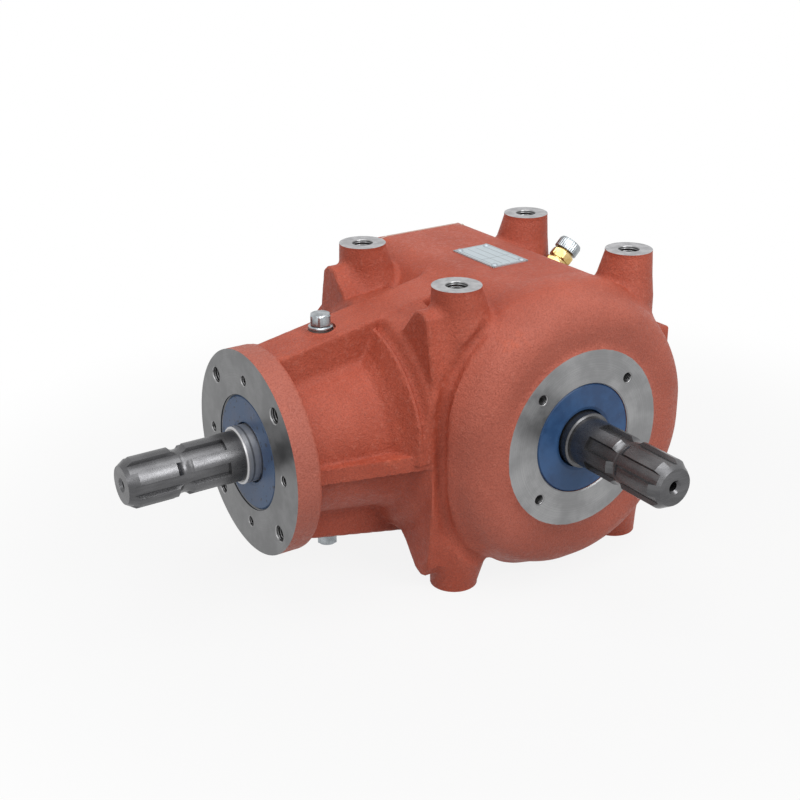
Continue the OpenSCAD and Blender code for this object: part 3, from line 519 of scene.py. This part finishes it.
class Finish:
    """One material, with its Principled shader and the helpers that add nodes."""

    def __init__(self, name, **constants):
        self.material = bpy.data.materials.new(name)
        self.material.use_nodes = True
        self.tree = self.material.node_tree
        self.bsdf = self.tree.nodes["Principled BSDF"]
        for key, value in constants.items():
            self.bsdf.inputs[key.replace("_", " ")].default_value = value

    def node(self, kind, settings=None, inputs=(), output=0):
        """Adds a node of a type: its settings first, then values or links by socket place or name."""
        n = self.tree.nodes.new(kind)
        for key, value in (settings or {}).items():
            if key == "stops":
                ramp = n.color_ramp
                while len(ramp.elements) < len(value):
                    ramp.elements.new(0.5)
                for e, (pos, colour) in zip(ramp.elements, value):
                    e.position, e.color = pos, (*colour, 1)
            else:
                setattr(n, key, value)
        items = inputs.items() if isinstance(inputs, dict) else enumerate(inputs)
        for key, value in items:
            if isinstance(value, Value):
                self.tree.links.new(value.socket, n.inputs[key])
            else:
                n.inputs[key].default_value = value
        return Value(self, n.outputs[output])

    def place(self):
        return self.node("ShaderNodeTexCoord", output="Object")

    def axes(self):
        """Object coordinates as three values, in metres."""
        n = self.tree.nodes.new("ShaderNodeSeparateXYZ")
        self.tree.links.new(self.place().socket, n.inputs[0])
        return [Value(self, n.outputs[i]) for i in range(3)]

    def noise(self, scale, detail=2.0, rough=0.5, stretch=None):
        vector = self.place()
        if stretch:
            vector = self.node("ShaderNodeMapping", {}, {"Vector": vector, "Scale": stretch})
        return self.node("ShaderNodeTexNoise", {},
                         {"Vector": vector, "Scale": scale, "Detail": detail, "Roughness": rough})

    def blend(self, mask, a, b):
        """Colour a where the mask is 0, b where it is 1."""
        n = self.tree.nodes.new("ShaderNodeMix")
        n.data_type = "RGBA"
        self.tree.links.new(mask.socket, n.inputs["Factor"])
        for key, c in (("A", a), ("B", b)):
            socket = [i for i in n.inputs if i.name == key and i.type == "RGBA"][0]
            if isinstance(c, Value):
                self.tree.links.new(c.socket, socket)
            else:
                socket.default_value = (*c, 1)
        return Value(self, [o for o in n.outputs if o.type == "RGBA"][0])

    def feed(self, **links):
        for key, value in links.items():
            self.tree.links.new(value.socket, self.bsdf.inputs[key.replace("_", " ")])

    def bump(self, *heights):
        """Bumps in a row: (height, distance in metres, strength) each."""
        normal = None
        for height, distance, strength in heights:
            inputs = {"Height": height, "Distance": distance, "Strength": strength}
            if normal:
                inputs["Normal"] = normal
            normal = self.node("ShaderNodeBump", {}, inputs)
        self.feed(Normal=normal)


def cast_primer():
    """Sand-cast iron under matte red oxide: grain of about a millimetre, slow shade changes, dusty high spots,
    brighter orange patches, a greyer, rubbed rim on the input flange and a painted highlight along the cover's edge."""
    f = Finish("cast_primer", Specular_IOR_Level=0.35)
    grain = f.noise(900, 3, 0.65)
    pebble = f.noise(320, 2, 0.5)
    cloud = f.noise(20, 3, 0.55)
    patch = f.noise(38, 3, 0.6)
    x, y, z = f.axes()
    rim = (x - FLANGE_BACK * MM).step(0.001, -0.003)
    front = (y + 0.085).step(0.012, -0.012) * (1 - rim)
    colour = f.blend(cloud.step(0.35, 0.65), (0.36, 0.064, 0.032), (0.44, 0.090, 0.050))
    colour = f.blend(front * 0.32 + rim * 0.5, colour, (0.40, 0.148, 0.112))
    colour = f.blend(pebble.step(0.50, 0.76) * 0.30, colour, (0.53, 0.185, 0.135))
    colour = f.blend(patch.step(0.62, 0.74) * 0.40, colour, (0.56, 0.110, 0.050))
    colour = f.blend(grain.step(0.58, 0.34) * 0.45, colour, (0.20, 0.036, 0.021))
    # painted highlight: a pale band along the casting's edge just before the cover face
    painted_edge_highlight = (y - 0.0945).step(0, 0.0004) * (0.0971 - y).step(0, 0.0001)
    colour = f.blend(painted_edge_highlight * 0.8, colour, (0.56, 0.44, 0.38))
    f.feed(Base_Color=colour, Roughness=pebble.step(0.3, 0.7, 0.45, 0.66))
    f.bump((pebble, 0.0010, 0.5), (grain, 0.0008, 0.7))
    return f.material


def turned_face():
    """Bare turned iron: fine rings about the nearer shaft axis, cloudy stains, a dull shine, and the output face
    painted lighter as painted reflected light.
    """
    f = Finish("turned_face", Metallic=0.9, Roughness=0.38)
    x, y, z = f.axes()
    about_output = (x + 0.19).step(-0.002, 0.002)
    h = (z - AXIS_H * MM) * (z - AXIS_H * MM)
    radius = (h + y * y) ** 0.5 * (1 - about_output) + (h + x * x) ** 0.5 * about_output
    rings = f.node("ShaderNodeTexNoise", {"noise_dimensions": "1D"}, {"W": radius, "Scale": 2600, "Detail": 2.0})
    stain = f.noise(45, 3, 0.6)
    # cloudy stains, plus painted reflection: the output face is painted lighter than the input face of the same iron
    stain_and_painted_light = stain.step(0.35, 0.68) * 0.45 + about_output * 0.55
    colour = f.blend(stain_and_painted_light, (0.14, 0.142, 0.145), (0.36, 0.362, 0.366))
    colour = f.blend(rings.step(0.42, 0.62) * 0.3, colour, (0.12, 0.12, 0.122))
    f.feed(Base_Color=colour, Roughness=stain.step(0.3, 0.7, 0.30, 0.46))
    f.bump((rings, 0.00005, 0.5))
    return f.material


def seal_rubber():
    """Blue rubber, satin, with faint moulding rings; the input one also carries dust and dark oil spots."""
    f = Finish("seal_rubber", Specular_IOR_Level=0.4)
    cloud = f.noise(60, 3, 0.6)
    speck = f.noise(700, 2, 0.6)
    spot = f.noise(260, 1, 0.5)
    worn = (f.axes()[0] + 0.19).step(0.002, -0.002)
    colour = f.blend(cloud.step(0.35, 0.65), (0.017, 0.056, 0.148), (0.029, 0.085, 0.205))
    colour = f.blend(worn * cloud.step(0.30, 0.70, 0.05, 0.28), colour, (0.105, 0.135, 0.165))
    colour = f.blend(speck.step(0.66, 0.76) * (worn * 0.35 + 0.10), colour, (0.30, 0.35, 0.40))
    colour = f.blend(spot.step(0.66, 0.70) * worn * 0.8, colour, (0.010, 0.020, 0.040))
    f.feed(Base_Color=colour, Roughness=cloud.step(0.3, 0.7, 0.36, 0.5))
    f.bump((speck, 0.0001, 0.4))
    return f.material


def spline_steel():
    """Machined shaft steel: dark and oily, faintly streaked, with a ground ring where the input shaft meets its
    seal."""
    f = Finish("spline_steel", Metallic=0.9)
    x = f.axes()[0]
    streak = f.noise(40, 3, 0.6, (1, 1, 5))
    fine = f.noise(1400, 2, 0.6)
    cloud = f.noise(35, 2, 0.5)
    ground = (x + 0.2142).step(0, 0.0006) * (x + 0.1).step(0.002, 0)
    colour = f.blend(streak.step(0.3, 0.7), (0.092, 0.092, 0.096), (0.135, 0.135, 0.140))
    colour = f.blend(cloud.step(0.55, 0.75) * 0.3, colour, (0.19, 0.19, 0.195))
    turned = abs(x + 0.2093).step(0.0005, 0.0009) * 0.75 + 0.25
    colour = f.blend(ground * turned, colour, (0.50, 0.50, 0.51))
    f.feed(Base_Color=colour, Roughness=fine.step(0.3, 0.7, 0.26, 0.36) + ground * 0.06)
    f.bump((fine * (1 - ground), 0.00004, 0.3))
    return f.material


def tapped_thread(axis, pitch):
    """Cut thread in a hole along one axis: crests and roots repeat with the pitch, in metres; roots painted dark as
    shade, crests pale as highlight.
    """
    f = Finish("thread_" + "xyz"[axis], Metallic=0.85, Roughness=0.34)
    turn = abs(f.node("ShaderNodeMath", {"operation": "FRACT"}, (f.axes()[axis] / pitch,)) - 0.5)
    # painted shade in the thread's roots and painted highlight on its crests
    f.feed(Base_Color=f.blend(turn.step(0.10, 0.38), (0.07, 0.07, 0.072), (0.32, 0.32, 0.325)))
    f.bump((turn.step(0.05, 0.45), 0.0005, 0.6))
    return f.material


def plated(name, dark, light, scale, rough):
    """Plated or turned metal: cloudy tone with fine scratches."""
    f = Finish(name, Metallic=0.95)
    cloud = f.noise(scale, 3, 0.6)
    fine = f.noise(2200, 2, 0.6)
    f.feed(Base_Color=f.blend(cloud.step(0.3, 0.7), dark, light), Roughness=fine.step(0.3, 0.7, *rough))
    f.bump((fine, 0.00004, 0.4))
    return f.material


def gasket_sheet():
    """Pale fibre sheet."""
    f = Finish("gasket_sheet", Roughness=0.85)
    fibre = f.noise(1500, 2, 0.6)
    f.feed(Base_Color=f.blend(fibre.step(0.3, 0.7), (0.48, 0.46, 0.40), (0.62, 0.60, 0.54)),
           Roughness=fibre.step(0.3, 0.7, 0.8, 0.95))
    return f.material


def plate_face():
    """Satin aluminium with a dark border and plain ruled fields, left without words."""
    f = Finish("plate_face", Metallic=0.55, Roughness=0.36)
    x, y, _ = f.axes()
    x, y = x - PLATE_X * MM, y - PLATE_Y * MM
    u, v = abs(x), abs(y)
    border = (u - 0.0141).step(-0.0002, 0.0002) * (0.0148 - u).step(-0.0001, 0.0001)
    border2 = (v - 0.0236).step(-0.0002, 0.0002) * (0.0243 - v).step(-0.0001, 0.0001)
    brushed = f.noise(500, 2, 0.6, (6, 1, 1))
    colour = f.blend(brushed.step(0.3, 0.7), (0.42, 0.49, 0.53), (0.52, 0.59, 0.63))
    mask = border + border2
    for place in (-0.012, -0.005, 0.002, 0.009):
        w = abs(x - place)
        mask = mask + w.step(0.00035, 0.0002) * (0.021 - v).step(-0.0002, 0.0002)
    w = abs(y + 0.006)
    mask = mask + w.step(0.00035, 0.0002) * (0.0125 - u).step(-0.0002, 0.0002)
    mask = mask.step(0.0, 0.8)
    f.feed(Base_Color=f.blend(mask * 0.75, colour, (0.10, 0.12, 0.13)), Roughness=brushed.step(0.3, 0.7, 0.3, 0.42))
    return f.material


# ---------------------------------------------------------------- the casting
def cast_housing():
    """The casting, machined, with a material for each kind of face."""
    points, faces = polygonise(casting_field, GRID_LOW, GRID_HIGH, PITCH)
    body = machine(mesh_object("cast_housing", points, faces))
    mesh = body.data

    def flat(axis, place, sign):
        return lambda c, n: (np.abs(c[axis] - place) < 0.06) & (n[axis] * sign > 0.98)

    def bore(c, n):
        inside_input = (c[0] < -190) & (np.hypot(c[1], c[2]) < BORE_R + 1.2)
        inside_output = (c[1] < -92) & (np.hypot(c[0], c[2]) < BORE_R + 1.2)
        return inside_input | inside_output

    def boss_holes(c, n):
        h = np.abs(c[2])
        return in_holes(c[0], c[1], corners_at(BOSS_X, BOSS_Y), BOSS_HOLE) & (h > 84) & (h < BOSS_TOP - 0.01)

    def flange_holes(c, n):
        found = [in_holes(c[1], c[2], circle_places(*circle), size) for circle, size in FLANGE_HOLES]
        return np.any(found, axis=0) & (c[0] < FLANGE_BACK) & (c[0] > FLANGE_X + 0.01)

    def output_holes(c, n):
        circle, size = FACE_HOLES
        return in_holes(c[0], c[2], circle_places(*circle), size) & (c[1] < -92) & (c[1] > FACE_Y + 0.01)

    mesh.materials.clear()
    for name in ("cast_primer", "turned_face", "milled_boss", "thread_x", "thread_y", "thread_z"):
        mesh.materials.append(finishes[name])
    mark_faces(mesh, [(1, flat(0, FLANGE_X, -1)), (1, flat(1, FACE_Y, -1)), (1, flat(1, COVER_Y, 1)), (1, bore),
                      (2, flat(2, BOSS_TOP, 1)), (2, flat(2, -BOSS_TOP, -1)),
                      (3, flange_holes), (4, output_holes), (5, boss_holes)])
    mesh.update()
    bm = bmesh.new()
    bm.from_mesh(mesh)
    for e in bm.edges:
        if len(e.link_faces) == 2:
            a, b = e.link_faces
            if a.material_index != b.material_index or a.normal.angle(b.normal, 0) > 0.65:
                e.smooth = False
    bm.to_mesh(mesh)
    bm.free()
    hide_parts("housing")
    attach(body, "housing")


def soft_shaded(obj, angle=0.6):
    """Smooth shading with sharp edges past an angle, in radians."""
    bm = bmesh.new()
    bm.from_mesh(obj.data)
    for face in bm.faces:
        face.smooth = True
    for e in bm.edges:
        if len(e.link_faces) == 2 and e.calc_face_angle(0) > angle:
            e.smooth = False
    bm.to_mesh(obj.data)
    bm.free()
    return obj


def dress(obj, node, finish):
    """Puts a finer piece in the place of a small part of the housing."""
    obj.data.materials.append(finishes[finish])
    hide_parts(node)
    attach(obj, "housing")


def sealing_plug(which, start, direction):
    """Hexagon plug with a chamfered head on a small flange, and the thin washer under it, painted dark as the shade
    under the flange.
    """
    head = lathe([(3.5, 6.0), (3.9, 7.75), (10.4, 7.75), (11.4, 6.35)], start, direction, across=13.6)
    foot = lathe([(-10.9, 5.7), (1.2, 5.7), (1.2, 8.1), (1.5, 8.5), (2.7, 8.5), (3.2, 7.9), (3.6, 6.9), (3.6, 5.7)],
                 start, direction)
    ring = lathe([(0.05, 8.2), (0.05, 8.7), (1.15, 8.7), (1.15, 8.2)], start, direction)
    plug = soft_shaded(mesh_object(which + "_hexagon", *joined([head, foot])))
    washer = soft_shaded(mesh_object(which + "_seal_ring", *ring))
    dress(plug, which + "_plug", "zinc")
    dress(washer, which + "_washer", "washer_painted_shade")


def breather(start, direction):
    """Brass body with two hexagons and a neck between them, and a flat fluted cap above."""
    lower = lathe([(0.05, 9.6), (0.8, 10.7), (7.4, 10.7), (8.4, 9.5)], start, direction, across=18.6)
    upper = lathe([(10.6, 8.6), (11.2, 9.4), (16.0, 9.4), (16.8, 8.6)], start, direction, across=16.4)
    middle = lathe([(-10.9, 5.7), (9, 5.7), (8.3, 7.2), (10.8, 7.2), (16.7, 6.6), (18.5, 6.6)], start, direction)
    body = soft_shaded(mesh_object("breather_hexagons", *joined([lower, middle, upper])))
    dress(body, "breather_body", "brass")
    profile, steps, flutes = [(18.2, 8.2), (18.8, 9.3), (25.6, 9.3), (27.4, 8.4), (28.0, 6.5)], 192, 32
    points, faces = lathe(profile, start, direction, steps)
    axis = np.array(direction, float) / np.linalg.norm(direction)
    arm = points - start
    height = arm @ axis
    arm -= height[:, None] * axis
    turn = np.tile(np.arange(steps) * 2 * math.pi / steps, len(profile))
    fluted = ((height > 18.5) & (height < 26)).astype(float)
    points -= arm * (0.018 * fluted * (1 - np.cos(flutes * turn)))[:, None]
    dress(soft_shaded(mesh_object("breather_fluted_cap", points, faces)), "breather_cap", "zinc")


finishes = {
    "cast_primer": cast_primer(),
    "turned_face": turned_face(),
    "seal_rubber": seal_rubber(),
    "spline_steel": spline_steel(),
    "thread_x": tapped_thread(0, 0.00175),
    "thread_y": tapped_thread(1, 0.00125),
    "thread_z": tapped_thread(2, 0.002),
    "gasket_sheet": gasket_sheet(),
    "plate_face": plate_face(),
}
# Plated and bare metals: darkest and lightest tone, size of the clouds, range of roughness
PLATED = {
    "zinc": ((0.24, 0.26, 0.275), (0.40, 0.43, 0.45), 220, (0.16, 0.30)),
    "milled_boss": ((0.33, 0.33, 0.34), (0.47, 0.47, 0.48), 160, (0.42, 0.55)),
    "brass": ((0.52, 0.36, 0.13), (0.72, 0.54, 0.25), 160, (0.2, 0.34)),
    "ground_steel": ((0.45, 0.45, 0.45), (0.60, 0.60, 0.60), 120, (0.2, 0.34)),
    "gear_steel": ((0.16, 0.16, 0.165), (0.27, 0.27, 0.275), 90, (0.3, 0.45)),
    "dull_rivet": ((0.32, 0.36, 0.39), (0.40, 0.44, 0.47), 150, (0.5, 0.65)),
    # the aluminium washers are painted dark grey as the shade under the plug flanges
    "washer_painted_shade": ((0.12, 0.11, 0.105), (0.20, 0.185, 0.18), 150, (0.4, 0.55)),
}
finishes.update({name: plated(name, *stain_and_painted_light) for name, stain_and_painted_light in PLATED.items()})
SLOT_FINISH = {
    "red_oxide": "cast_primer", "gasket_paper": "gasket_sheet", "seal_blue": "seal_rubber", "brass": "brass",
    "soft_aluminium": "washer_painted_shade", "zinc_plate": "zinc", "plate_aluminium": "plate_face",
    "shaft_steel": "spline_steel", "dark_steel": "gear_steel", "bright_steel": "ground_steel",
}
slots = {part["node"]: part["material_slot"] for part in frame["record"]["subparts"]}
for node, obj in frame["nodes"].items():
    finish = finishes["dull_rivet" if node == "plate_rivets" else SLOT_FINISH[slots[node]]]
    for place in obj.material_slots:
        place.material = finish

cast_housing()
sealing_plug("filler", (FILLER_X, 0, FILLER_Z), (0, 0, 1))
sealing_plug("drain", (FILLER_X, 0, DRAIN_Z), (0, 0, -1))
breather(BREATHER, UPHILL)


# ---------------------------------------------------------------- studio
def seen_directly(tree):
    """Socket that is 1 for camera and glossy rays and 0 for the rest."""
    path = tree.nodes.new("ShaderNodeLightPath")
    either = tree.nodes.new("ShaderNodeMath")
    either.operation = "MAXIMUM"
    for i, ray in enumerate(("Is Camera Ray", "Is Glossy Ray")):
        tree.links.new(path.outputs[ray], either.inputs[i])
    return either.outputs[0]


def lamp(name, place, target, size, power):
    """Square area lamp that faces its target; lengths in metres."""
    data = bpy.data.lights.new(name, "AREA")
    data.size, data.energy = size, power
    obj = bpy.data.objects.new(name, data)
    bpy.context.scene.collection.objects.link(obj)
    obj.location = place
    obj.rotation_euler = (Vector(target) - Vector(place)).to_track_quat("-Z", "Y").to_euler()


def studio():
    """White surroundings for what looks at them, a dim warm light for the rest, a pale floor and three lamps."""
    scene = bpy.context.scene
    scene.view_settings.view_transform = "Standard"
    world = bpy.data.worlds.new("studio")
    world.use_nodes = True
    tree = world.node_tree
    light = tree.nodes["Background"]
    light.inputs["Color"].default_value = (1.0, 0.975, 0.95, 1)
    light.inputs["Strength"].default_value = 0.30
    white = tree.nodes.new("ShaderNodeBackground")
    white.inputs["Color"].default_value = (1, 1, 1, 1)
    white.inputs["Strength"].default_value = 1.0
    mix = tree.nodes.new("ShaderNodeMixShader")
    tree.links.new(seen_directly(tree), mix.inputs["Fac"])
    tree.links.new(light.outputs[0], mix.inputs[1])
    tree.links.new(white.outputs[0], mix.inputs[2])
    tree.links.new(mix.outputs[0], tree.nodes["World Output"].inputs["Surface"])
    scene.world = world

    reach = 9000
    floor = mesh_object("floor", [(i * reach, j * reach, -AXIS_H) for i, j in ((-1, -1), (1, -1), (1, 1), (-1, 1))],
                        [[0, 1, 2, 3]])
    pale = Finish("pale_floor", Base_Color=(0.52, 0.52, 0.52, 1), Roughness=0.9, Specular_IOR_Level=0.1)
    x, y, _ = pale.axes()
    far = (x * x + y * y).step(0.04, 0.30, 0.88, 1.0)
    seen = Value(pale, seen_directly(pale.tree))
    glow = pale.node("ShaderNodeEmission", {}, {"Strength": 1.0})
    both = pale.node("ShaderNodeMixShader", {}, (far * seen, Value(pale, pale.bsdf.outputs[0]), glow))
    pale.tree.links.new(both.socket, pale.tree.nodes["Material Output"].inputs["Surface"])
    floor.data.materials.append(pale.material)

    lamp("top_light", (-0.25, -0.35, 1.5), (0, 0, 0.1), 1.2, 13)
    lamp("front_light", (0.3, -1.35, 1.15), (0, 0, 0.1), 0.7, 12)
    lamp("left_light", (-1.5, -0.5, 0.8), (-0.1, 0, 0.1), 0.7, 4)


def camera():
    """The photograph's camera, from a least-squares fit of its circles: azimuth, elevation, roll, place and lens."""
    azimuth, elevation, roll = math.radians(-32.53), math.radians(22.99), math.radians(-0.38)
    level = math.cos(elevation)
    back = np.array([math.sin(azimuth) * level, -math.cos(azimuth) * level, math.sin(elevation)])
    right = np.array([math.cos(azimuth), math.sin(azimuth), 0])
    up = np.cross(back, right)
    r = right * math.cos(roll) + up * math.sin(roll)
    u = up * math.cos(roll) - right * math.sin(roll)
    data = bpy.data.cameras.new("photo_camera")
    data.lens, data.sensor_width, data.sensor_fit = 59.44, 36.0, "HORIZONTAL"
    data.clip_start, data.clip_end = 0.01, 50
    obj = bpy.data.objects.new("photo_camera", data)
    place = np.array([-553.56, -739.89, 382.26 + AXIS_H]) * MM
    m = np.eye(4)
    m[:3, 0], m[:3, 1], m[:3, 2], m[:3, 3] = r, u, back, place
    obj.matrix_world = Matrix(m.tolist())
    bpy.context.scene.collection.objects.link(obj)
    bpy.context.scene.camera = obj


studio()
camera()
